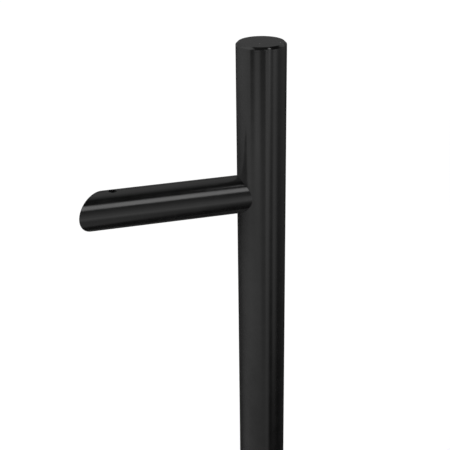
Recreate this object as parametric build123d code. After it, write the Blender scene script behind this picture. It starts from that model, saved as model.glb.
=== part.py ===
from build123d import *

import os
from math import cos, radians, sin, tan

# T-bar pull handle with angled standoffs, in millimetres.
#
# A straight round tube, closed by a turned cap at each end, is carried off the door by two round
# standoffs. Each standoff leaves the door at an angle, so the tube stands to one side of its fixings.
# At the tube the standoff is coped to the tube's curve and welded; at the door it is mitred to lie
# flat, and its foot is bored for a fixing spigot that a grub screw locks from above.
#
# Frame: the door face is the plane Y = 0 and the handle stands out of it towards -Y. Z is up along
# the tube, and the tube is offset towards +X. The origin is midway between the two fixing spigots.

# Grip tube
BAR_DIAMETER = 32.0
BAR_WALL = 1.5
BAR_OVERHANG = 100.0  # from the middle of a standoff to the end of the bar, cap included
BAR_TO_DOOR = 77.5  # tube axis to door face

# Standoffs
FIXING_CENTRES = 400.0
STANDOFF_DIAMETER = 25.0
STANDOFF_ANGLE = 45.0  # standoff axis from the door's normal, in degrees
MITRE_EDGE_BREAK = 0.2

# End caps
CAP_HEAD_THICKNESS = 3.0
CAP_EDGE_CHAMFER = 1.5
CAP_PLUG_LENGTH = 10.0
CAP_PLUG_LEAD_IN = 1.0
CAP_PLUG_CLEARANCE = 0.05  # radial, filled by the bond

# Fixing spigots, threaded M8, and the sockets that hold them
SPIGOT_DIAMETER = 14.0
SPIGOT_LENGTH = 15.0
SPIGOT_EDGE_CHAMFER = 0.6
SPIGOT_GROOVE_DEPTH = 1.2
SOCKET_CLEARANCE = 0.05  # radial
SOCKET_END_GAP = 0.5
FIXING_THREAD_BORE = 6.8

# Grub screws, M5 with a cone point
SCREW_INSET = 11.5  # along the standoff's axis, from the middle of the mitred face
SCREW_DIAMETER = 5.0
SCREW_LENGTH = 5.0
SCREW_TIP_DIAMETER = 1.2
SCREW_TOP_CHAMFER = 0.4
SCREW_THREAD_CLEARANCE = 0.05  # radial
SCREW_HOLE_COUNTERSINK = 0.35
SCREW_POINT_CLEARANCE = 0.05  # along the screw, between its cone and the groove
KEY_ACROSS_FLATS = 2.5
KEY_DEPTH = 2.4

# Sizes that follow from the driving ones
BAR_LENGTH = FIXING_CENTRES + 2 * BAR_OVERHANG
BAR_RADIUS = BAR_DIAMETER / 2
BAR_BORE_RADIUS = BAR_RADIUS - BAR_WALL
STANDOFF_RADIUS = STANDOFF_DIAMETER / 2
SPIGOT_RADIUS = SPIGOT_DIAMETER / 2
SOCKET_RADIUS = SPIGOT_RADIUS + SOCKET_CLEARANCE
SOCKET_DEPTH = SPIGOT_LENGTH + SOCKET_END_GAP
SCREW_RADIUS = SCREW_DIAMETER / 2
SCREW_HOLE_RADIUS = SCREW_RADIUS + SCREW_THREAD_CLEARANCE

# Directions and places in plan. The screw stands over the spigot's axis, which is X = 0.
AXIS_X = sin(radians(STANDOFF_ANGLE))
AXIS_Y = -cos(radians(STANDOFF_ANGLE))
SCREW_Y = SCREW_INSET * AXIS_Y
MITRE_X = -SCREW_INSET * AXIS_X
BAR_X = MITRE_X + BAR_TO_DOOR * tan(radians(STANDOFF_ANGLE))
BAR_Y = -BAR_TO_DOOR
UPPER_Z = FIXING_CENTRES / 2
LOWER_Z = -FIXING_CENTRES / 2

# How far stock and cutters run past the faces that they meet
OVERRUN = BAR_DIAMETER + STANDOFF_DIAMETER


def turned(*outline):
    """A solid of revolution about Z from (radius, height) points of one half of its section."""
    return revolve(make_face(Polyline(*[(r, 0, z) for r, z in outline], close=True)), Axis.Z)


def grip_tube():
    """The plain tube between the two caps' heads."""
    length = BAR_LENGTH - 2 * CAP_HEAD_THICKNESS
    tube = Cylinder(BAR_RADIUS, length) - Cylinder(BAR_BORE_RADIUS, length)
    return Pos(BAR_X, BAR_Y, 0) * tube


def end_cap():
    """A turned cap with its head's seat at Z = 0: a chamfered head as wide as the tube, on a plug."""
    plug = BAR_BORE_RADIUS - CAP_PLUG_CLEARANCE
    return turned(
        (0, -CAP_PLUG_LENGTH),
        (plug - CAP_PLUG_LEAD_IN, -CAP_PLUG_LENGTH),
        (plug, CAP_PLUG_LEAD_IN - CAP_PLUG_LENGTH),
        (plug, 0),
        (BAR_RADIUS, 0),
        (BAR_RADIUS, CAP_HEAD_THICKNESS - CAP_EDGE_CHAMFER),
        (BAR_RADIUS - CAP_EDGE_CHAMFER, CAP_HEAD_THICKNESS),
        (0, CAP_HEAD_THICKNESS),
    )


def standoff():
    """A standoff at Z = 0: round bar, mitred at the door, coped to the tube and bored in its foot."""
    axis = Plane(origin=(MITRE_X, 0, 0), z_dir=(AXIS_X, AXIS_Y, 0))
    reach = BAR_TO_DOOR / cos(radians(STANDOFF_ANGLE))
    bar = extrude(axis.offset(-OVERRUN) * Circle(STANDOFF_RADIUS), amount=OVERRUN + reach)

    # The mitre keeps what is in front of the door face.
    bar = split(bar, Plane.XZ, keep=Keep.TOP)
    rim = bar.faces().sort_by(Axis.Y)[-1].outer_wire().edges()
    bar = chamfer(rim, MITRE_EDGE_BREAK)

    # The cope follows the tube's outside.
    bar -= Pos(BAR_X, BAR_Y, 0) * Cylinder(BAR_RADIUS, OVERRUN)

    # The spigot's socket, square to the door face.
    socket = Plane(origin=(0, 0, 0), z_dir=(0, -1, 0)) * Circle(SOCKET_RADIUS)
    bar -= extrude(socket, amount=SOCKET_DEPTH)

    # The grub screw's hole, from the standoff's top into the socket, with its rim broken.
    bar -= Pos(0, SCREW_Y, 0) * Cylinder(
        SCREW_HOLE_RADIUS, STANDOFF_DIAMETER, align=(Align.CENTER, Align.CENTER, Align.MIN)
    )
    rim_radius = SCREW_HOLE_RADIUS + SCREW_HOLE_COUNTERSINK
    bar -= Pos(0, SCREW_Y, STANDOFF_RADIUS) * turned(
        (0, -rim_radius),
        (rim_radius, 0),
        (rim_radius + SCREW_RADIUS, SCREW_RADIUS),
        (0, SCREW_RADIUS),
    )
    return bar


def fixing_spigot():
    """A spigot along -Y from the door face: turned, grooved for the screw's point and bored M8."""
    groove = -SCREW_Y
    chamfered = SPIGOT_RADIUS - SPIGOT_EDGE_CHAMFER
    bore = FIXING_THREAD_BORE / 2
    spigot = turned(
        (bore, 0),
        (chamfered, 0),
        (SPIGOT_RADIUS, SPIGOT_EDGE_CHAMFER),
        (SPIGOT_RADIUS, groove - SPIGOT_GROOVE_DEPTH),
        (SPIGOT_RADIUS - SPIGOT_GROOVE_DEPTH, groove),
        (SPIGOT_RADIUS, groove + SPIGOT_GROOVE_DEPTH),
        (SPIGOT_RADIUS, SPIGOT_LENGTH - SPIGOT_EDGE_CHAMFER),
        (chamfered, SPIGOT_LENGTH),
        (bore, SPIGOT_LENGTH),
    )
    return Rot(90, 0, 0) * spigot


def grub_screw():
    """A cone-point screw standing over the spigot, its point in the groove and its key socket up."""
    cone = SCREW_RADIUS - SCREW_TIP_DIAMETER / 2
    screw = turned(
        (0, 0),
        (SCREW_TIP_DIAMETER / 2, 0),
        (SCREW_RADIUS, cone),
        (SCREW_RADIUS, SCREW_LENGTH - SCREW_TOP_CHAMFER),
        (SCREW_RADIUS - SCREW_TOP_CHAMFER, SCREW_LENGTH),
        (0, SCREW_LENGTH),
    )
    key = RegularPolygon(KEY_ACROSS_FLATS / 2, 6, major_radius=False)
    screw -= Pos(0, 0, SCREW_LENGTH) * extrude(key, amount=-KEY_DEPTH)
    tip_height = SPIGOT_RADIUS - SPIGOT_GROOVE_DEPTH + SCREW_TIP_DIAMETER / 2 + SCREW_POINT_CLEARANCE
    return Pos(0, SCREW_Y, tip_height) * screw


def build():
    """Every piece in its place, by the name of its node."""
    tube_end = BAR_LENGTH / 2 - CAP_HEAD_THICKNESS
    pieces = {
        "grip_tube": grip_tube(),
        "top_end_cap": Pos(BAR_X, BAR_Y, tube_end) * end_cap(),
        "bottom_end_cap": Pos(BAR_X, BAR_Y, -tube_end) * Rot(180, 0, 0) * end_cap(),
    }
    for place, height in (("upper", UPPER_Z), ("lower", LOWER_Z)):
        pieces[f"{place}_standoff"] = Pos(0, 0, height) * standoff()
        pieces[f"{place}_fixing_spigot"] = Pos(0, 0, height) * fixing_spigot()
        pieces[f"{place}_grub_screw"] = Pos(0, 0, height) * grub_screw()
    return pieces


os.makedirs("parts", exist_ok=True)
for name, piece in build().items():
    export_step(piece, f"parts/{name}.step")
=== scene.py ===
from collections import namedtuple
from math import cos, pi, radians, sin

import bmesh
import bpy
from bpy.props import FloatProperty, FloatVectorProperty, IntProperty, PointerProperty
from mathutils import Matrix, Vector


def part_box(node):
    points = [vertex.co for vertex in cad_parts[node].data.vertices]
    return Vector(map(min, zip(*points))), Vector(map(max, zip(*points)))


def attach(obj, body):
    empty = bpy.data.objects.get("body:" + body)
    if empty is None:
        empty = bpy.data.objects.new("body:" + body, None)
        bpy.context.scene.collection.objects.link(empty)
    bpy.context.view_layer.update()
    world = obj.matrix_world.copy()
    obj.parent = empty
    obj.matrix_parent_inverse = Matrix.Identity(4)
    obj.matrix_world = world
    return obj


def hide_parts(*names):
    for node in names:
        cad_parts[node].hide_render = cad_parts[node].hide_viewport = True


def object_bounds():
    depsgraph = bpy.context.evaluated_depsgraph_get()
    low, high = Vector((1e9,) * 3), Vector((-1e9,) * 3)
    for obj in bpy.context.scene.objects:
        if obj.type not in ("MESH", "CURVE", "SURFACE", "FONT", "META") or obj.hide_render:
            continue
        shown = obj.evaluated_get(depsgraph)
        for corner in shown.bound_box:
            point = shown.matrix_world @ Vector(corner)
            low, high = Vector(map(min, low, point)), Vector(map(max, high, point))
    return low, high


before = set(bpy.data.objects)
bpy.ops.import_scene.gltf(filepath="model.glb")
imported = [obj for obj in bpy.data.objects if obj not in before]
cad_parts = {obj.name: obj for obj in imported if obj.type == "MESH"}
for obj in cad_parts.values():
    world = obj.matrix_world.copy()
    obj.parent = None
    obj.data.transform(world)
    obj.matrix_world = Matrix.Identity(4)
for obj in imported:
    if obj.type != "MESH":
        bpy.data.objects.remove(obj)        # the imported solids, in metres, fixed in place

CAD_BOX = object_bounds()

bl_info = {
    "name": "T-Bar Pull Handle",
    "version": (1, 0, 0),
    "blender": (4, 5, 0),
    "location": "View3D > Sidebar > Pull Handle",
    "description": "Models and finishes a round T-bar pull handle on angled standoffs, in a white studio",
    "category": "Add Mesh",
}

MM = 0.001
MICRON = 1e-6
TOUCH = MICRON  # how near two points lie to count as one

CREASE = radians(35)  # an edge bent further than this stays sharp in the shading
THREAD_CREASE = radians(25)
THREAD_FACETS = 64  # steps of one turn of a thread
RIDGE_HALF = 0.48  # half the width of a thread's ridge, in pitches, so that its turns stay apart
KEY_SIDES = 6

# Places and sizes read from the solids.
TUBE_LOW, TUBE_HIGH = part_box("grip_tube")
CAP_LOW, CAP_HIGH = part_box("top_end_cap")
FOOT_LOW, FOOT_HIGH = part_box("upper_standoff")
SPIGOT_LOW, SPIGOT_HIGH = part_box("upper_fixing_spigot")
SCREW_LOW, SCREW_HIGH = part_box("upper_grub_screw")
BAR_X = (TUBE_LOW.x + TUBE_HIGH.x) / 2
BAR_Y = (TUBE_LOW.y + TUBE_HIGH.y) / 2
UPPER_Z = (FOOT_LOW.z + FOOT_HIGH.z) / 2
SCREW_Y = (SCREW_LOW.y + SCREW_HIGH.y) / 2
FLOOR_Z = CAD_BOX[0].z

BODY = "root"


class HandleSizes(bpy.types.PropertyGroup):
    """Sizes of the handle's pieces."""

    bar_diameter: FloatProperty(
        name="Bar Diameter", description="Outside diameter of the grip tube",
        default=2 * (BAR_Y - CAD_BOX[0].y), unit="LENGTH")
    bar_wall: FloatProperty(
        name="Bar Wall", description="Wall thickness of the grip tube",
        default=1.5 * MM, unit="LENGTH")
    seam_break: FloatProperty(
        name="Seam Break", description="Edge break where the tube meets its caps",
        default=0.04 * MM, unit="LENGTH")
    cap_chamfer: FloatProperty(
        name="Cap Chamfer", description="Chamfer round the end of the bar",
        default=1.5 * MM, unit="LENGTH")
    cap_corner: FloatProperty(
        name="Cap Corner", description="Rounding of the chamfer's two edges",
        default=0.12 * MM, unit="LENGTH")
    cap_head: FloatProperty(
        name="Cap Head", description="Thickness of the cap's head, over the tube's end",
        default=CAP_HIGH.z - TUBE_HIGH.z, unit="LENGTH")
    cap_plug_clearance: FloatProperty(
        name="Cap Plug Clearance", description="Radial gap between the cap's plug and the tube",
        default=0.05 * MM, unit="LENGTH")
    cap_lead_in: FloatProperty(
        name="Cap Lead-in", description="Chamfer at the inner end of the cap's plug",
        default=1.0 * MM, unit="LENGTH")
    standoff_diameter: FloatProperty(
        name="Standoff Diameter", description="Diameter of the round standoffs",
        default=FOOT_HIGH.z - FOOT_LOW.z, unit="LENGTH")
    standoff_angle: FloatProperty(
        name="Standoff Angle", description="Angle of the standoffs from the door's normal",
        default=radians(45), subtype="ANGLE")
    foot_edge_break: FloatProperty(
        name="Foot Edge Break", description="Edge break round the mitred foot",
        default=0.3 * MM, unit="LENGTH")
    socket_clearance: FloatProperty(
        name="Socket Clearance", description="Radial gap round the fixing spigot",
        default=0.05 * MM, unit="LENGTH")
    socket_end_gap: FloatProperty(
        name="Socket End Gap", description="Gap past the inner end of the fixing spigot",
        default=0.5 * MM, unit="LENGTH")
    spigot_chamfer: FloatProperty(
        name="Spigot Chamfer", description="Chamfer at both ends of the fixing spigot",
        default=0.6 * MM, unit="LENGTH")
    spigot_groove: FloatProperty(
        name="Spigot Groove", description="Depth of the groove that the grub screw bites in",
        default=1.2 * MM, unit="LENGTH")
    spigot_bore: FloatProperty(
        name="Spigot Bore", description="Core diameter of the fixing thread",
        default=6.8 * MM, unit="LENGTH")
    spigot_thread_depth: FloatProperty(
        name="Spigot Thread Depth", description="Depth of the fixing thread past its core",
        default=0.6 * MM, unit="LENGTH")
    spigot_thread_pitch: FloatProperty(
        name="Spigot Thread Pitch", description="Pitch of the fixing thread",
        default=1.25 * MM, unit="LENGTH")
    screw_clearance: FloatProperty(
        name="Screw Clearance", description="Radial gap round the grub screw",
        default=0.05 * MM, unit="LENGTH")
    screw_countersink: FloatProperty(
        name="Screw Countersink", description="Width of the broken rim of the grub screw's hole",
        default=0.35 * MM, unit="LENGTH")
    screw_tip: FloatProperty(
        name="Screw Tip", description="Diameter of the flat on the grub screw's cone point",
        default=1.2 * MM, unit="LENGTH")
    screw_chamfer: FloatProperty(
        name="Screw Chamfer", description="Chamfer at the grub screw's key end",
        default=0.4 * MM, unit="LENGTH")
    screw_thread_depth: FloatProperty(
        name="Screw Thread Depth", description="Depth of the grub screw's thread",
        default=0.4 * MM, unit="LENGTH")
    screw_thread_pitch: FloatProperty(
        name="Screw Thread Pitch", description="Pitch of the grub screw's thread",
        default=0.8 * MM, unit="LENGTH")
    key_size: FloatProperty(
        name="Key Size", description="Width across the flats of the grub screw's hexagon",
        default=2.5 * MM, unit="LENGTH")
    key_depth: FloatProperty(
        name="Key Depth", description="Depth of the grub screw's hexagon",
        default=2.4 * MM, unit="LENGTH")
    facets: IntProperty(
        name="Facets", description="Sides of each round wall", default=256, min=32)


class HandleFinish(bpy.types.PropertyGroup):
    """Colours of the handle's finishes."""

    coat_colour: FloatVectorProperty(
        name="Coat", description="Satin black coat of the bar and standoffs",
        subtype="COLOR", size=3, min=0, max=1, default=(0.02, 0.02, 0.02))
    zinc_colour: FloatVectorProperty(
        name="Zinc", description="Plated steel of the fixing spigots",
        subtype="COLOR", size=3, min=0, max=1, default=(0.56, 0.57, 0.58))
    oxide_colour: FloatVectorProperty(
        name="Black Oxide", description="Blackened steel of the grub screws",
        subtype="COLOR", size=3, min=0, max=1, default=(0.035, 0.035, 0.038))


class StudioSettings(bpy.types.PropertyGroup):
    """Camera, floor and light of the studio."""

    camera_azimuth: FloatProperty(
        name="Camera Azimuth", description="Turn of the camera about the bar, from a view along +Y",
        default=radians(-60.056), subtype="ANGLE")
    camera_elevation: FloatProperty(
        name="Camera Elevation", description="Height of the camera above the horizon",
        default=radians(23.946), subtype="ANGLE")
    camera_roll: FloatProperty(
        name="Camera Roll", description="Turn of the camera about its own line of sight",
        default=radians(0.982), subtype="ANGLE")
    camera_distance: FloatProperty(
        name="Camera Distance", description="From the camera to the point that it aims at",
        default=0.68211, unit="LENGTH")
    camera_lens: FloatProperty(
        name="Camera Lens", description="Focal length, in millimetres", default=81.753)
    camera_aim: FloatVectorProperty(
        name="Camera Aim", description="Point that the camera looks at",
        subtype="XYZ", size=3, default=(0.05722, -0.05642, 0.17623))
    floor_colour: FloatVectorProperty(
        name="Floor", description="Pale floor under the handle",
        subtype="COLOR", size=3, min=0, max=1, default=(0.85, 0.85, 0.85))
    floor_near: FloatProperty(
        name="Floor Near", description="What the floor adds to its light for the eye, by the handle",
        default=0.56)
    floor_far: FloatProperty(
        name="Floor Far", description="The same far off, where no lamp reaches", default=0.91)
    floor_reach: FloatProperty(
        name="Floor Reach", description="How far the lamps' light on the floor goes before it fades",
        default=1.4, unit="LENGTH")
    room_light: FloatProperty(
        name="Room Light", description="Even light of the room on dull surfaces", default=0.16)
    top_light: FloatProperty(
        name="Top Light", description="Power of the soft lamp overhead", default=2.8, subtype="POWER")
    key_light: FloatProperty(
        name="Key Light", description="Power of the soft lamp on the left", default=22.0, subtype="POWER")
    key_turn: FloatProperty(
        name="Key Turn", description="Turn of the left lamp from the camera's side, right positive",
        default=radians(-85), subtype="ANGLE")
    key_height: FloatProperty(
        name="Key Height", description="Height of the left lamp above the standoff's horizon",
        default=radians(14), subtype="ANGLE")
    back_light: FloatProperty(
        name="Back Light", description="Power of the soft lamp behind", default=1.2, subtype="POWER")
    back_turn: FloatProperty(
        name="Back Turn", description="Turn of the lamp behind from the camera's side, right positive",
        default=radians(165), subtype="ANGLE")
    back_height: FloatProperty(
        name="Back Height", description="Height of the lamp behind above the standoff's horizon",
        default=radians(6), subtype="ANGLE")


# Selecting and shaping

def direction(turn, height=0.0):
    """The way to a point at that turn and height, where turn 0 is the -Y side."""
    return Vector((sin(turn) * cos(height), -cos(turn) * cos(height), sin(height)))


def deselect():
    """Leaves nothing selected."""
    bpy.ops.object.select_all(action="DESELECT")


def make_active(piece):
    """Makes one piece the only selected and the active one."""
    deselect()
    piece.select_set(True)
    bpy.context.view_layer.objects.active = piece


def settle(piece):
    """Puts the piece's place and turn into its mesh, so that its object sits at the origin."""
    make_active(piece)
    bpy.ops.object.transform_apply(location=True, rotation=True, scale=True)
    return piece


def select_edges(piece, wanted):
    """In edit mode, selects the edges whose two ends both pass a test of their place."""
    bpy.ops.mesh.select_mode(type="EDGE")
    bpy.ops.mesh.select_all(action="DESELECT")
    mesh = bmesh.from_edit_mesh(piece.data)
    for edge in mesh.edges:
        edge.select_set(all(wanted(corner.co) for corner in edge.verts))
    bmesh.update_edit_mesh(piece.data)


def bevel_edges(piece, wanted, width, segments=2):
    """Bevels the edges that pass a test of their place."""
    make_active(piece)
    bpy.ops.object.mode_set(mode="EDIT")
    select_edges(piece, wanted)
    bpy.ops.mesh.bevel(offset=width, segments=segments, profile=0.5)
    bpy.ops.object.mode_set(mode="OBJECT")


def close_up(piece):
    """Merges doubles and turns every face outwards."""
    make_active(piece)
    bpy.ops.object.mode_set(mode="EDIT")
    bpy.ops.mesh.select_all(action="SELECT")
    bpy.ops.mesh.remove_doubles(threshold=TOUCH)
    bpy.ops.mesh.normals_make_consistent(inside=False)
    bpy.ops.object.mode_set(mode="OBJECT")


def round_bar(name, radius, low, high, facets):
    """A closed cylinder from one point to another."""
    axis = high - low
    deselect()
    bpy.ops.mesh.primitive_cylinder_add(
        vertices=facets, radius=radius, depth=axis.length, end_fill_type="NGON",
        location=(low + high) / 2, rotation=axis.to_track_quat("Z", "Y").to_euler())
    piece = bpy.context.active_object
    piece.name = name
    return settle(piece)


def draw_outline(name, outline):
    """A chain of edges through (radius, height) points, drawn by extruding one corner."""
    start = outline[0]
    deselect()
    bpy.ops.mesh.primitive_plane_add(size=MM, location=(start[0], 0, start[1]))
    piece = settle(bpy.context.active_object)
    piece.name = name
    bpy.ops.object.mode_set(mode="EDIT")
    bpy.ops.mesh.select_mode(type="VERT")
    bpy.ops.mesh.select_all(action="SELECT")
    bpy.ops.mesh.merge(type="CENTER")
    for here, there in zip(outline, outline[1:]):
        step = (there[0] - here[0], 0, there[1] - here[1])
        bpy.ops.mesh.extrude_region_move(TRANSFORM_OT_translate={"value": step})
    bpy.ops.object.mode_set(mode="OBJECT")
    return piece


def turned(name, outline, facets):
    """Spins an outline of (radius, height) points about Z, as on a lathe."""
    piece = draw_outline(name, outline)
    make_active(piece)
    bpy.ops.object.mode_set(mode="EDIT")
    bpy.ops.mesh.select_all(action="SELECT")
    bpy.ops.mesh.spin(steps=facets, angle=2 * pi, center=(0, 0, 0), axis=(0, 0, 1), use_auto_merge=True)
    bpy.ops.object.mode_set(mode="OBJECT")
    close_up(piece)
    return piece


def thread_ridge(name, tip, base, pitch, length):
    """A V-shaped ridge wound about Z, past both ends of a length, to cut a screw thread with."""
    half_width = RIDGE_HALF * pitch
    low = -2 * pitch
    high = length + pitch
    corners = [(base, low - half_width), (tip, low), (base, low + half_width), (base, low - half_width)]
    piece = draw_outline(name, corners)
    close_up(piece)
    winding = piece.modifiers.new("winding", "SCREW")
    winding.axis = "Z"
    winding.angle = 2 * pi
    winding.screw_offset = pitch
    winding.iterations = int((high - low) / pitch) + 1
    winding.steps = THREAD_FACETS
    winding.render_steps = THREAD_FACETS
    bpy.ops.object.modifier_apply(modifier=winding.name)
    bpy.ops.object.mode_set(mode="EDIT")
    bpy.ops.mesh.select_all(action="SELECT")
    bpy.ops.mesh.fill_holes(sides=len(corners))
    bpy.ops.object.mode_set(mode="OBJECT")
    close_up(piece)
    return piece


def cut(piece, cutter):
    """Takes the cutter's shape out of the piece."""
    make_active(piece)
    taken = piece.modifiers.new("cut", "BOOLEAN")
    taken.operation = "DIFFERENCE"
    taken.solver = "EXACT"
    taken.object = cutter
    bpy.ops.object.modifier_apply(modifier=taken.name)
    bpy.data.objects.remove(cutter)


def place(piece, point, turn=Matrix()):
    """Turns the piece about the origin and moves it to a point, in its mesh."""
    piece.matrix_world = Matrix.Translation(point) @ turn
    return settle(piece)


def copied(piece, name):
    """A copy of the piece, with a mesh of its own."""
    make_active(piece)
    bpy.ops.object.duplicate(linked=False)
    copy = bpy.context.active_object
    copy.name = name
    return copy


def hand_over(piece, node, material, crease=CREASE):
    """Finishes a piece: its shading, its material and the solid that it stands for."""
    make_active(piece)
    bpy.ops.object.shade_smooth_by_angle(angle=crease)
    shading = piece.modifiers.new("shading", "WEIGHTED_NORMAL")
    shading.keep_sharp = True
    bpy.ops.object.modifier_apply(modifier=shading.name)
    piece.data.materials.clear()
    piece.data.materials.append(material)
    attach(piece, BODY)
    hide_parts(node)
    check_closed(piece)


def pair_up(piece, name, node, material, crease=CREASE):
    """Sets a piece that is modelled at the height of the origin in its upper and its lower place."""
    lower = copied(piece, f"{name}_lower")
    place(piece, (0, 0, UPPER_Z))
    place(lower, (0, 0, -UPPER_Z))
    hand_over(piece, f"upper_{node}", material, crease)
    hand_over(lower, f"lower_{node}", material, crease)


def check_closed(piece):
    """Raises an error if the piece's surface has an open or a shared edge."""
    mesh = bmesh.new()
    mesh.from_mesh(piece.data)
    loose = sum(1 for edge in mesh.edges if len(edge.link_faces) != 2)
    mesh.free()
    if loose or not piece.data.polygons:
        raise RuntimeError(f"{piece.name} has {loose} edges that don't join two faces")


# Materials

def add(tree, kind, **settings):
    """Adds a node and sets its options."""
    node = tree.nodes.new(kind)
    for name, value in settings.items():
        setattr(node, name, value)
    return node


def feed(tree, socket, source):
    """Links a socket to a source, or sets it to a plain value."""
    if isinstance(source, bpy.types.NodeSocket):
        tree.links.new(source, socket)
    else:
        socket.default_value = source


def maths(tree, operation, *sources):
    """A Math node's result."""
    node = add(tree, "ShaderNodeMath", operation=operation)
    for socket, source in zip(node.inputs, sources):
        feed(tree, socket, source)
    return node.outputs[0]


def ramp(tree, value, start, end, low=0.0, high=1.0):
    """A smooth step of value from low to high, between start and end."""
    node = add(tree, "ShaderNodeMapRange", interpolation_type="SMOOTHSTEP")
    for name, source in (("Value", value), ("From Min", start), ("From Max", end),
                         ("To Min", low), ("To Max", high)):
        feed(tree, node.inputs[name], source)
    return node.outputs[0]


def noise(tree, point, scale, detail, roughness=0.5):
    """Cloudy noise from 0 to 1."""
    node = add(tree, "ShaderNodeTexNoise")
    for name, source in (("Vector", point), ("Scale", scale), ("Detail", detail), ("Roughness", roughness)):
        feed(tree, node.inputs[name], source)
    return node.outputs[0]


# Where a Mix node keeps its two values and its result, for each kind of data.
MIX_SOCKETS = {"FLOAT": (2, 3, 0), "RGBA": (6, 7, 2)}


def mix(tree, kind, share, first, second):
    """The first number or colour where share is 0, and the second where it is 1."""
    node = add(tree, "ShaderNodeMix", data_type=kind)
    first_socket, second_socket, result = MIX_SOCKETS[kind]
    feed(tree, node.inputs["Factor"], share)
    feed(tree, node.inputs[first_socket], first)
    feed(tree, node.inputs[second_socket], second)
    return node.outputs[result]


def new_group(name, inputs, outputs):
    """An empty shader node group with named float or vector sockets, and its two end nodes."""
    tree = bpy.data.node_groups.new(name, "ShaderNodeTree")
    for label, default in inputs:
        kind = "NodeSocketFloat" if isinstance(default, float) else "NodeSocketVector"
        socket = tree.interface.new_socket(name=label, in_out="INPUT", socket_type=kind)
        if isinstance(default, float):
            socket.default_value = default
    for label in outputs:
        tree.interface.new_socket(name=label, in_out="OUTPUT", socket_type="NodeSocketFloat")
    return tree, tree.nodes.new("NodeGroupInput").outputs, tree.nodes.new("NodeGroupOutput").inputs


def use_group(tree, group, **values):
    """Places a node group with its own values, named with underscores for spaces."""
    node = add(tree, "ShaderNodeGroup", node_tree=group)
    for name, source in values.items():
        feed(tree, node.inputs[name.replace("_", " ")], source)
    return node.outputs


def group_once(name, build):
    """The node group of that name, built the first time that it is asked for."""
    return bpy.data.node_groups.get(name) or build(name)


def build_mottle(name):
    """Slow, cloudy change of a value, as a coat's gloss varies and hands leave it."""
    tree, given, result = new_group(
        name, [("Vector", None), ("Scale", 60.0), ("Low", 0.16), ("High", 0.24)], ["Value"])
    cloud = noise(tree, given["Vector"], given["Scale"], detail=4.0, roughness=0.6)
    feed(tree, result["Value"], ramp(tree, cloud, 0.3, 0.7, given["Low"], given["High"]))
    return tree


def build_peel(name):
    """Height of the fine orange peel that a sprayed coat dries with."""
    tree, given, result = new_group(name, [("Vector", None), ("Scale", 1100.0)], ["Height"])
    feed(tree, result["Height"], noise(tree, given["Vector"], given["Scale"], detail=2.0))
    return tree


def build_lines(name):
    """Fine lines that run along Z, from grinding or turning."""
    tree, given, result = new_group(
        name, [("Vector", None), ("Across", 5000.0), ("Along", 12.0)], ["Height"])
    stretch = add(tree, "ShaderNodeVectorMath", operation="MULTIPLY")
    sizes = add(tree, "ShaderNodeCombineXYZ")
    feed(tree, sizes.inputs["X"], given["Across"])
    feed(tree, sizes.inputs["Y"], given["Across"])
    feed(tree, sizes.inputs["Z"], given["Along"])
    feed(tree, stretch.inputs[0], given["Vector"])
    feed(tree, stretch.inputs[1], sizes.outputs[0])
    feed(tree, result["Height"], noise(tree, stretch.outputs[0], scale=1.0, detail=3.0))
    return tree


def new_material(name):
    """A new material, its node tree and the inputs of its Principled shader."""
    material = bpy.data.materials.new(name)
    material.use_nodes = True
    shader = next(n for n in material.node_tree.nodes if n.type == "BSDF_PRINCIPLED")
    return material, material.node_tree, shader.inputs


def place_on_piece(tree, turn):
    """Object coordinates, turned so that the piece's length lies along Z."""
    source = add(tree, "ShaderNodeTexCoord")
    mapping = add(tree, "ShaderNodeMapping", vector_type="TEXTURE")
    mapping.inputs["Rotation"].default_value = turn
    feed(tree, mapping.inputs["Vector"], source.outputs["Object"])
    return mapping.outputs[0]


def bump(tree, height, distance, normal=None):
    """The surface's normal, shaken by a height of that many metres."""
    node = add(tree, "ShaderNodeBump")
    node.inputs["Strength"].default_value = 1.0
    node.inputs["Distance"].default_value = distance
    feed(tree, node.inputs["Height"], height)
    if normal:
        feed(tree, node.inputs["Normal"], normal)
    return node.outputs[0]


def mottle(tree, point, scale, low=0.0, high=1.0):
    """A value that drifts in clouds between low and high."""
    group = group_once("Mottle", build_mottle)
    return use_group(tree, group, Vector=point, Scale=scale, Low=low, High=high)["Value"]


def mottled(tree, point, scale, colour, dark, light):
    """A colour that drifts in clouds between a darker and a lighter share of itself."""
    shades = [(*(part * share for part in colour), 1) for share in (dark, light)]
    return mix(tree, "RGBA", mottle(tree, point, scale), *shades)


def fine_lines(tree, point, across, along):
    """The height of fine lines, by how often it changes across and along them in a metre."""
    group = group_once("Fine Lines", build_lines)
    return use_group(tree, group, Vector=point, Across=across, Along=along)["Height"]


def orange_peel(tree, point, scale):
    """The height of fine dimples."""
    group = group_once("Orange Peel", build_peel)
    return use_group(tree, group, Vector=point, Scale=scale)["Height"]


def satin_coat(name, finish, turn=(0, 0, 0)):
    """Satin black coat over fine grinding lines that run along the piece."""
    material, tree, shader = new_material(name)
    point = place_on_piece(tree, turn)
    colour = mottled(tree, point, 90.0, finish.coat_colour, dark=0.88, light=1.14)
    ground = bump(tree, fine_lines(tree, point, across=4000.0, along=15.0), 0.4 * MICRON)
    sprayed = bump(tree, orange_peel(tree, point, scale=1100.0), 1.0 * MICRON, ground)
    feed(tree, shader["Base Color"], colour)
    feed(tree, shader["Roughness"], mottle(tree, point, 45.0, low=0.12, high=0.17))
    feed(tree, shader["Normal"], sprayed)
    return material


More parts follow.
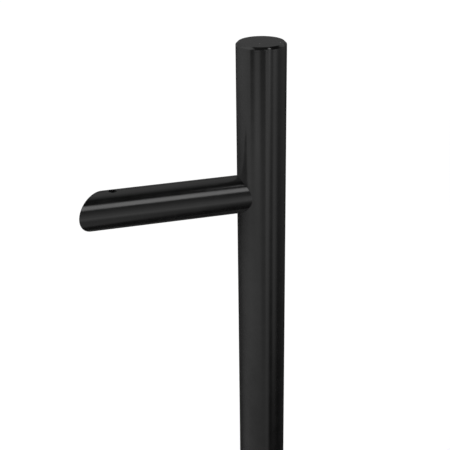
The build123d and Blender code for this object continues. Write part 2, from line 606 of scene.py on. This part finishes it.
def plated_steel(name, finish):
    """Bright zinc on turned steel, with the tool's rings round it."""
    material, tree, shader = new_material(name)
    point = place_on_piece(tree, (radians(90), 0, 0))
    colour = mottled(tree, point, 220.0, finish.zinc_colour, dark=0.85, light=1.1)
    rings = bump(tree, fine_lines(tree, point, across=60.0, along=6000.0), 2.0 * MICRON)
    feed(tree, shader["Base Color"], colour)
    shader["Metallic"].default_value = 1.0
    feed(tree, shader["Roughness"], mottle(tree, point, 300.0, low=0.26, high=0.4))
    feed(tree, shader["Normal"], rings)
    return material


def black_oxide(name, finish):
    """Blackened steel with a light film of oil."""
    material, tree, shader = new_material(name)
    point = place_on_piece(tree, (0, 0, 0))
    colour = mottled(tree, point, 700.0, finish.oxide_colour, dark=0.6, light=1.3)
    etched = bump(tree, orange_peel(tree, point, scale=5000.0), 2.0 * MICRON)
    feed(tree, shader["Base Color"], colour)
    shader["Metallic"].default_value = 1.0
    feed(tree, shader["Roughness"], mottle(tree, point, 500.0, low=0.35, high=0.5))
    feed(tree, shader["Normal"], etched)
    return material


# Pieces

class PULLHANDLE_OT_grip_tube(bpy.types.Operator):
    """Models the straight tube of the grip"""

    bl_idname = "pull_handle.grip_tube"
    bl_label = "Grip Tube"

    def execute(self, context):
        sizes = context.scene.handle_sizes
        radius = sizes.bar_diameter / 2
        low = Vector((BAR_X, BAR_Y, TUBE_LOW.z))
        high = Vector((BAR_X, BAR_Y, TUBE_HIGH.z))
        piece = round_bar("bar_tube", radius, low, high, sizes.facets)
        past = Vector((0, 0, sizes.bar_wall))
        cut(piece, round_bar("bore", radius - sizes.bar_wall, low - past, high + past, sizes.facets))
        bevel_edges(piece, lambda p: min(abs(p.z - low.z), abs(p.z - high.z)) < TOUCH, sizes.seam_break)
        hand_over(piece, "grip_tube", satin_coat("Satin Black on Tube", context.scene.handle_finish))
        return {"FINISHED"}


class PULLHANDLE_OT_end_caps(bpy.types.Operator):
    """Models the turned caps that close the tube"""

    bl_idname = "pull_handle.end_caps"
    bl_label = "End Caps"

    def execute(self, context):
        sizes = context.scene.handle_sizes
        material = satin_coat("Satin Black on Caps", context.scene.handle_finish)
        head = sizes.bar_diameter / 2
        plug = head - sizes.bar_wall - sizes.cap_plug_clearance
        plug_end = CAP_LOW.z - TUBE_HIGH.z
        outline = [
            (0, plug_end),
            (plug - sizes.cap_lead_in, plug_end),
            (plug, plug_end + sizes.cap_lead_in),
            (plug, 0),
            (head - sizes.seam_break, 0),
            (head, sizes.seam_break),
            (head, sizes.cap_head - sizes.cap_chamfer),
            (head - sizes.cap_chamfer, sizes.cap_head),
            (0, sizes.cap_head),
        ]
        top = turned("bar_cap_top", outline, sizes.facets)
        rim = sizes.cap_head - sizes.cap_chamfer - TOUCH
        bevel_edges(top, lambda p: p.z > rim and p.xy.length > TOUCH, sizes.cap_corner, segments=3)
        bottom = copied(top, "bar_cap_bottom")
        place(top, (BAR_X, BAR_Y, TUBE_HIGH.z))
        place(bottom, (BAR_X, BAR_Y, TUBE_LOW.z), Matrix.Rotation(pi, 4, "X"))
        hand_over(top, "top_end_cap", material)
        hand_over(bottom, "bottom_end_cap", material)
        return {"FINISHED"}


class PULLHANDLE_OT_standoffs(bpy.types.Operator):
    """Models the standoffs, coped to the tube and mitred at the door"""

    bl_idname = "pull_handle.standoffs"
    bl_label = "Standoffs"

    def execute(self, context):
        sizes = context.scene.handle_sizes
        material = satin_coat("Satin Black on Standoffs", context.scene.handle_finish,
                              (radians(90), 0, sizes.standoff_angle))
        piece = self.mitred_bar("standoff_upper", sizes)
        self.cope(piece, sizes)
        self.bore(piece, sizes)
        pair_up(piece, "standoff", "standoff", material)
        return {"FINISHED"}

    def mitred_bar(self, name, sizes):
        """Round bar cut off flat at the door's face, with that edge broken."""
        axis = direction(sizes.standoff_angle)
        tube = Vector((BAR_X, BAR_Y, 0))
        foot = tube + axis * (BAR_Y / cos(sizes.standoff_angle))
        piece = round_bar(name, sizes.standoff_diameter / 2, foot - axis * sizes.standoff_diameter, tube,
                          sizes.facets)
        bpy.ops.object.mode_set(mode="EDIT")
        bpy.ops.mesh.select_all(action="SELECT")
        bpy.ops.mesh.bisect(plane_co=foot, plane_no=(0, 1, 0), use_fill=True, clear_outer=True)
        bpy.ops.object.mode_set(mode="OBJECT")
        bevel_edges(piece, lambda p: abs(p.y) < TOUCH, sizes.foot_edge_break, segments=3)
        return piece

    def cope(self, piece, sizes):
        """Hollows the standoff's end to the tube's round."""
        tube = Vector((BAR_X, BAR_Y, 0))
        reach = Vector((0, 0, sizes.standoff_diameter))
        cut(piece, round_bar("cope", sizes.bar_diameter / 2, tube - reach, tube + reach, sizes.facets))

    def bore(self, piece, sizes):
        """Bores the foot for the spigot, and the top for the grub screw."""
        depth = SPIGOT_HIGH.y - SPIGOT_LOW.y + sizes.socket_end_gap
        socket = (SPIGOT_HIGH.x - SPIGOT_LOW.x) / 2 + sizes.socket_clearance
        out = Vector((0, depth, 0))
        cut(piece, round_bar("socket", socket, -out, out, sizes.facets))
        hole = (SCREW_HIGH.x - SCREW_LOW.x) / 2 + sizes.screw_clearance
        top = sizes.standoff_diameter / 2
        rim = hole + sizes.screw_countersink
        drill = turned("drill", [
            (0, 0),
            (hole, 0),
            (hole, top - sizes.screw_countersink),
            (rim + hole, top + hole),
            (0, top + hole),
        ], sizes.facets // 2)
        cut(piece, place(drill, (0, SCREW_Y, 0)))


class PULLHANDLE_OT_fixing_spigots(bpy.types.Operator):
    """Models the threaded spigots that the standoffs slide over"""

    bl_idname = "pull_handle.fixing_spigots"
    bl_label = "Fixing Spigots"

    def execute(self, context):
        sizes = context.scene.handle_sizes
        material = plated_steel("Zinc on Turned Steel", context.scene.handle_finish)
        radius = (SPIGOT_HIGH.x - SPIGOT_LOW.x) / 2
        length = SPIGOT_HIGH.y - SPIGOT_LOW.y
        bore = sizes.spigot_bore / 2
        groove = -SCREW_Y
        mouth = bore + sizes.spigot_thread_depth
        outline = [
            (bore, sizes.spigot_thread_depth),
            (mouth, 0),
            (radius - sizes.spigot_chamfer, 0),
            (radius, sizes.spigot_chamfer),
            (radius, groove - sizes.spigot_groove),
            (radius - sizes.spigot_groove, groove),
            (radius, groove + sizes.spigot_groove),
            (radius, length - sizes.spigot_chamfer),
            (radius - sizes.spigot_chamfer, length),
            (mouth, length),
            (bore, length - sizes.spigot_thread_depth),
            (bore, sizes.spigot_thread_depth),
        ]
        piece = turned("spigot_upper", outline, sizes.facets // 2)
        inside = bore - sizes.spigot_thread_depth / 2
        cut(piece, thread_ridge("tap", mouth, inside, sizes.spigot_thread_pitch, length))
        place(piece, (0, 0, 0), Matrix.Rotation(pi / 2, 4, "X"))
        pair_up(piece, "spigot", "fixing_spigot", material, THREAD_CREASE)
        return {"FINISHED"}


class PULLHANDLE_OT_grub_screws(bpy.types.Operator):
    """Models the grub screws that lock the standoffs"""

    bl_idname = "pull_handle.grub_screws"
    bl_label = "Grub Screws"

    def execute(self, context):
        sizes = context.scene.handle_sizes
        material = black_oxide("Black Oxide Steel", context.scene.handle_finish)
        radius = (SCREW_HIGH.x - SCREW_LOW.x) / 2
        length = SCREW_HIGH.z - SCREW_LOW.z
        outline = [
            (0, 0),
            (sizes.screw_tip / 2, 0),
            (radius, radius - sizes.screw_tip / 2),
            (radius, length - sizes.screw_chamfer),
            (radius - sizes.screw_chamfer, length),
            (0, length),
        ]
        key_corner = sizes.key_size / 2 / cos(pi / KEY_SIDES)
        piece = turned("grub_screw_upper", outline, sizes.facets // 4)
        key_floor = Vector((0, 0, length - sizes.key_depth))
        key_top = Vector((0, 0, length + sizes.key_depth))
        cut(piece, round_bar("key", key_corner, key_floor, key_top, KEY_SIDES))
        root = radius - sizes.screw_thread_depth
        outside = radius + sizes.screw_thread_depth / 2
        cut(piece, thread_ridge("die", root, outside, sizes.screw_thread_pitch, length))
        place(piece, (0, SCREW_Y, SCREW_LOW.z - UPPER_Z))
        pair_up(piece, "grub_screw", "grub_screw", material, THREAD_CREASE)
        return {"FINISHED"}


# Studio

FLOOR_SIZE = 30
LAMP_WIDTH = 0.9
LAMP_DISTANCE = 2.0  # of the lamps on the left and behind, from the bar at the upper standoff
BACK_SPREAD = radians(40)
OVERHEAD_WIDTH = 1.6
OVERHEAD_PLACE = Vector((0.3, -0.3, 2.2))  # from the floor under the bar
SENSOR_WIDTH = 36
CLIP_START = 0.01

# A softbox of the studio. Angles are in degrees: turns go from the camera's direction, right positive,
# heights from the horizon. It fades in from the first to the second and out from the third to the last.
Softbox = namedtuple("Softbox", "strength turns heights")

SOFTBOXES = (
    # the floor's glow in front and on the left
    Softbox(0.40, (-132, -74, 28, 40), (-86, -77, -24, -10)),
    # the white wall on the left
    Softbox(0.60, (-167, -72, -53, -51), (-23, -12, 65, 68)),
    # the low panels left of the camera
    Softbox(0.56, (-42, -23, -14, -1), (-22, -19, 0, 10)),
    Softbox(0.23, (-89, -49, -13, 5), (-33, -30, -20, -16)),
    # the strip light right of the camera, two glows round its low end, and its bright head
    Softbox(0.64, (16, 19, 19, 58), (-39, -14, -14, 50)),
    Softbox(0.35, (29, 34, 39, 42), (-20, -15, 0, 10)),
    Softbox(0.12, (-12, 4, 30, 42), (-26, -18, -6, 4)),
    Softbox(3.10, (6, 26, 35, 59), (28, 37, 50, 60)),
    # the low panel on the right, and the floor's glow round it
    Softbox(0.52, (46, 58, 59, 85), (-38, -25, -8, 0)),
    Softbox(0.39, (30, 33, 98, 157), (-37, 0, 0, 6)),
    # the panels behind the handle, high and low
    Softbox(0.54, (99, 198, 213, 234), (19, 58, 58, 118)),
    Softbox(0.15, (89, 123, 228, 270), (-10, 0, 40, 43)),
    # the floor behind, which shows along the standoff's underside
    Softbox(0.07, (152, 178, 200, 230), (-78, -68, -44, -34)),
    Softbox(0.03, (90, 120, 240, 270), (-75, -60, -25, -5)),
    # what the cap's chamfer mirrors high up, on the right and on the left
    Softbox(3.60, (55, 59, 72, 76), (60, 63, 67, 70)),
    Softbox(0.30, (110, 120, 150, 165), (18, 24, 40, 46)),
    Softbox(0.48, (-145, -106, -75, -63), (21, 44, 66, 70)),
)


def build_softbox(name):
    """How bright one softbox shines in a direction, given by its turn and height."""
    tree, given, result = new_group(
        name, [("Turn", 0.0), ("Height", 0.0), ("Middle", 0.0), ("Strength", 1.0),
               ("Left Out", -20.0), ("Left In", -10.0), ("Right In", 10.0), ("Right Out", 20.0),
               ("Low Out", -20.0), ("Low In", -10.0), ("High In", 10.0), ("High Out", 20.0)], ["Strength"])
    turn = maths(tree, "WRAP", maths(tree, "SUBTRACT", given["Turn"], given["Middle"]), 180.0, -180.0)
    sides = maths(tree, "MULTIPLY", ramp(tree, turn, given["Left Out"], given["Left In"]),
                  ramp(tree, turn, given["Right In"], given["Right Out"], 1.0, 0.0))
    ends = maths(tree, "MULTIPLY", ramp(tree, given["Height"], given["Low Out"], given["Low In"]),
                 ramp(tree, given["Height"], given["High In"], given["High Out"], 1.0, 0.0))
    share = maths(tree, "MULTIPLY", sides, ends)
    feed(tree, result["Strength"], maths(tree, "MULTIPLY", given["Strength"], share))
    return tree


class PULLHANDLE_OT_stage(bpy.types.Operator):
    """Sets up the white floor, the studio's light and the camera"""

    bl_idname = "pull_handle.stage"
    bl_label = "Studio"

    def execute(self, context):
        studio = context.scene.handle_studio
        context.scene.view_settings.view_transform = "Standard"
        self.floor(studio)
        self.lamps(studio)
        self.world(context.scene, studio)
        self.camera(context.scene, studio)
        return {"FINISHED"}

    def floor(self, studio):
        """A wide pale floor that keeps the handle's shadow and is open from below."""
        deselect()
        bpy.ops.mesh.primitive_plane_add(size=FLOOR_SIZE, location=(0, 0, FLOOR_Z))
        floor = settle(bpy.context.active_object)
        floor.name = "floor"
        floor.visible_glossy = False
        material, tree, shader = new_material("Pale Floor")
        shader["Base Color"].default_value = (*studio.floor_colour, 1)
        shader["Roughness"].default_value = 1.0
        shader["Specular IOR Level"].default_value = 0.0
        shader["Emission Color"].default_value = (1, 1, 1, 1)
        paths = add(tree, "ShaderNodeLightPath").outputs
        away = add(tree, "ShaderNodeVectorMath", operation="LENGTH")
        feed(tree, away.inputs[0], add(tree, "ShaderNodeTexCoord").outputs["Object"])
        lit = maths(tree, "EXPONENT", maths(tree, "DIVIDE", away.outputs["Value"], -studio.floor_reach))
        glow = maths(tree, "MULTIPLY_ADD", lit, studio.floor_near - studio.floor_far, studio.floor_far)
        feed(tree, shader["Emission Strength"], maths(tree, "MULTIPLY", paths["Is Camera Ray"], glow))
        under = add(tree, "ShaderNodeNewGeometry").outputs["Backfacing"]
        feed(tree, shader["Alpha"], maths(tree, "SUBTRACT", 1.0, under))
        floor.data.materials.append(material)

    def lamps(self, studio):
        """Large soft lamps round the handle and overhead, which light the dull base but aren't mirrored."""
        lit = Vector((BAR_X, BAR_Y, UPPER_Z))
        left = direction(studio.camera_azimuth + studio.key_turn, studio.key_height)
        self.lamp("key_light", studio.key_light, LAMP_WIDTH, lit + left * LAMP_DISTANCE, left)
        behind = direction(studio.camera_azimuth + studio.back_turn, studio.back_height)
        self.lamp("back_light", studio.back_light, LAMP_WIDTH, lit + behind * LAMP_DISTANCE, behind,
                  BACK_SPREAD)
        overhead = Vector((BAR_X, BAR_Y, FLOOR_Z)) + OVERHEAD_PLACE
        self.lamp("top_light", studio.top_light, OVERHEAD_WIDTH, overhead, Vector((0, 0, 1)))

    def lamp(self, name, power, width, point, back, spread=pi):
        """A round lamp at a point, facing away from its back."""
        facing = back.to_track_quat("Z", "Y").to_euler()
        deselect()
        bpy.ops.object.light_add(type="AREA", location=point, rotation=facing)
        lamp = bpy.context.active_object
        lamp.name = name
        lamp.data.energy = power
        lamp.data.shape = "DISK"
        lamp.data.size = width
        lamp.data.spread = spread
        lamp.visible_glossy = False
        lamp.visible_camera = False

    def world(self, scene, studio):
        """White to the eye, softboxes to a mirror, and even light on what is dull."""
        world = bpy.data.worlds.new("Studio")
        scene.world = world
        # Sampled as a lamp, the room's even light would blend into what the coat mirrors.
        world.cycles.sampling_method = "NONE"
        world.use_nodes = True
        tree = world.node_tree
        tree.nodes.clear()
        away = add(tree, "ShaderNodeTexCoord").outputs["Generated"]
        spin = add(tree, "ShaderNodeVectorRotate", rotation_type="Z_AXIS")
        feed(tree, spin.inputs["Vector"], away)
        spin.inputs["Angle"].default_value = -studio.camera_azimuth
        parts = add(tree, "ShaderNodeSeparateXYZ")
        feed(tree, parts.inputs[0], spin.outputs[0])
        back = maths(tree, "MULTIPLY", parts.outputs["Y"], -1.0)
        turn = maths(tree, "DEGREES", maths(tree, "ARCTAN2", parts.outputs["X"], back))
        height = maths(tree, "DEGREES", maths(tree, "ARCSINE", parts.outputs["Z"]))
        shine = 0.0
        softbox = group_once("Softbox", build_softbox)
        for box in SOFTBOXES:
            middle = (box.turns[1] + box.turns[2]) / 2
            left_out, left_in, right_in, right_out = (t - middle for t in box.turns)
            low_out, low_in, high_in, high_out = box.heights
            glow = use_group(
                tree, softbox, Turn=turn, Height=height, Middle=middle, Strength=box.strength,
                Left_Out=left_out, Left_In=left_in, Right_In=right_in, Right_Out=right_out,
                Low_Out=low_out, Low_In=low_in, High_In=high_in, High_Out=high_out)
            shine = maths(tree, "ADD", shine, glow["Strength"])
        paths = add(tree, "ShaderNodeLightPath").outputs
        plain = maths(tree, "MAXIMUM", paths["Is Camera Ray"], paths["Is Transmission Ray"])
        level = mix(tree, "FLOAT", paths["Is Glossy Ray"], studio.room_light, shine)
        level = mix(tree, "FLOAT", plain, level, 1.0)
        background = add(tree, "ShaderNodeBackground")
        background.inputs["Color"].default_value = (1, 1, 1, 1)
        feed(tree, background.inputs["Strength"], level)
        feed(tree, add(tree, "ShaderNodeOutputWorld").inputs["Surface"], background.outputs[0])

    def camera(self, scene, studio):
        """The camera, set by its turn, height, roll and distance from the point that it aims at."""
        back = direction(studio.camera_azimuth, studio.camera_elevation)
        deselect()
        bpy.ops.object.camera_add(location=Vector(studio.camera_aim) + back * studio.camera_distance)
        camera = bpy.context.active_object
        camera.name = "camera"
        level = (-back).to_track_quat("-Z", "Y").to_matrix()
        camera.rotation_euler = (level @ Matrix.Rotation(-studio.camera_roll, 3, "Z")).to_euler()
        camera.data.lens = studio.camera_lens
        camera.data.sensor_width = SENSOR_WIDTH
        camera.data.clip_start = CLIP_START
        scene.camera = camera


class VIEW3D_PT_pull_handle(bpy.types.Panel):
    """Lists the handle's sizes, finishes and steps"""

    bl_label = "Pull Handle"
    bl_space_type = "VIEW_3D"
    bl_region_type = "UI"
    bl_category = "Pull Handle"

    def draw(self, context):
        for operator in OPERATORS:
            self.layout.operator(operator.bl_idname)
        for name, group in SETTINGS:
            column = self.layout.column()
            for field in group.__annotations__:
                column.prop(getattr(context.scene, name), field)


OPERATORS = (
    PULLHANDLE_OT_grip_tube,
    PULLHANDLE_OT_end_caps,
    PULLHANDLE_OT_standoffs,
    PULLHANDLE_OT_fixing_spigots,
    PULLHANDLE_OT_grub_screws,
    PULLHANDLE_OT_stage,
)
SETTINGS = (
    ("handle_sizes", HandleSizes),
    ("handle_finish", HandleFinish),
    ("handle_studio", StudioSettings),
)


def register():
    for name, group in SETTINGS:
        bpy.utils.register_class(group)
        setattr(bpy.types.Scene, name, PointerProperty(type=group))
    for operator in OPERATORS:
        bpy.utils.register_class(operator)
    bpy.utils.register_class(VIEW3D_PT_pull_handle)


def unregister():
    bpy.utils.unregister_class(VIEW3D_PT_pull_handle)
    for operator in reversed(OPERATORS):
        bpy.utils.unregister_class(operator)
    for name, group in reversed(SETTINGS):
        delattr(bpy.types.Scene, name)
        bpy.utils.unregister_class(group)


def main():
    register()
    bpy.ops.pull_handle.grip_tube()
    bpy.ops.pull_handle.end_caps()
    bpy.ops.pull_handle.standoffs()
    bpy.ops.pull_handle.fixing_spigots()
    bpy.ops.pull_handle.grub_screws()
    bpy.ops.pull_handle.stage()


if __name__ == "__main__":
    main()
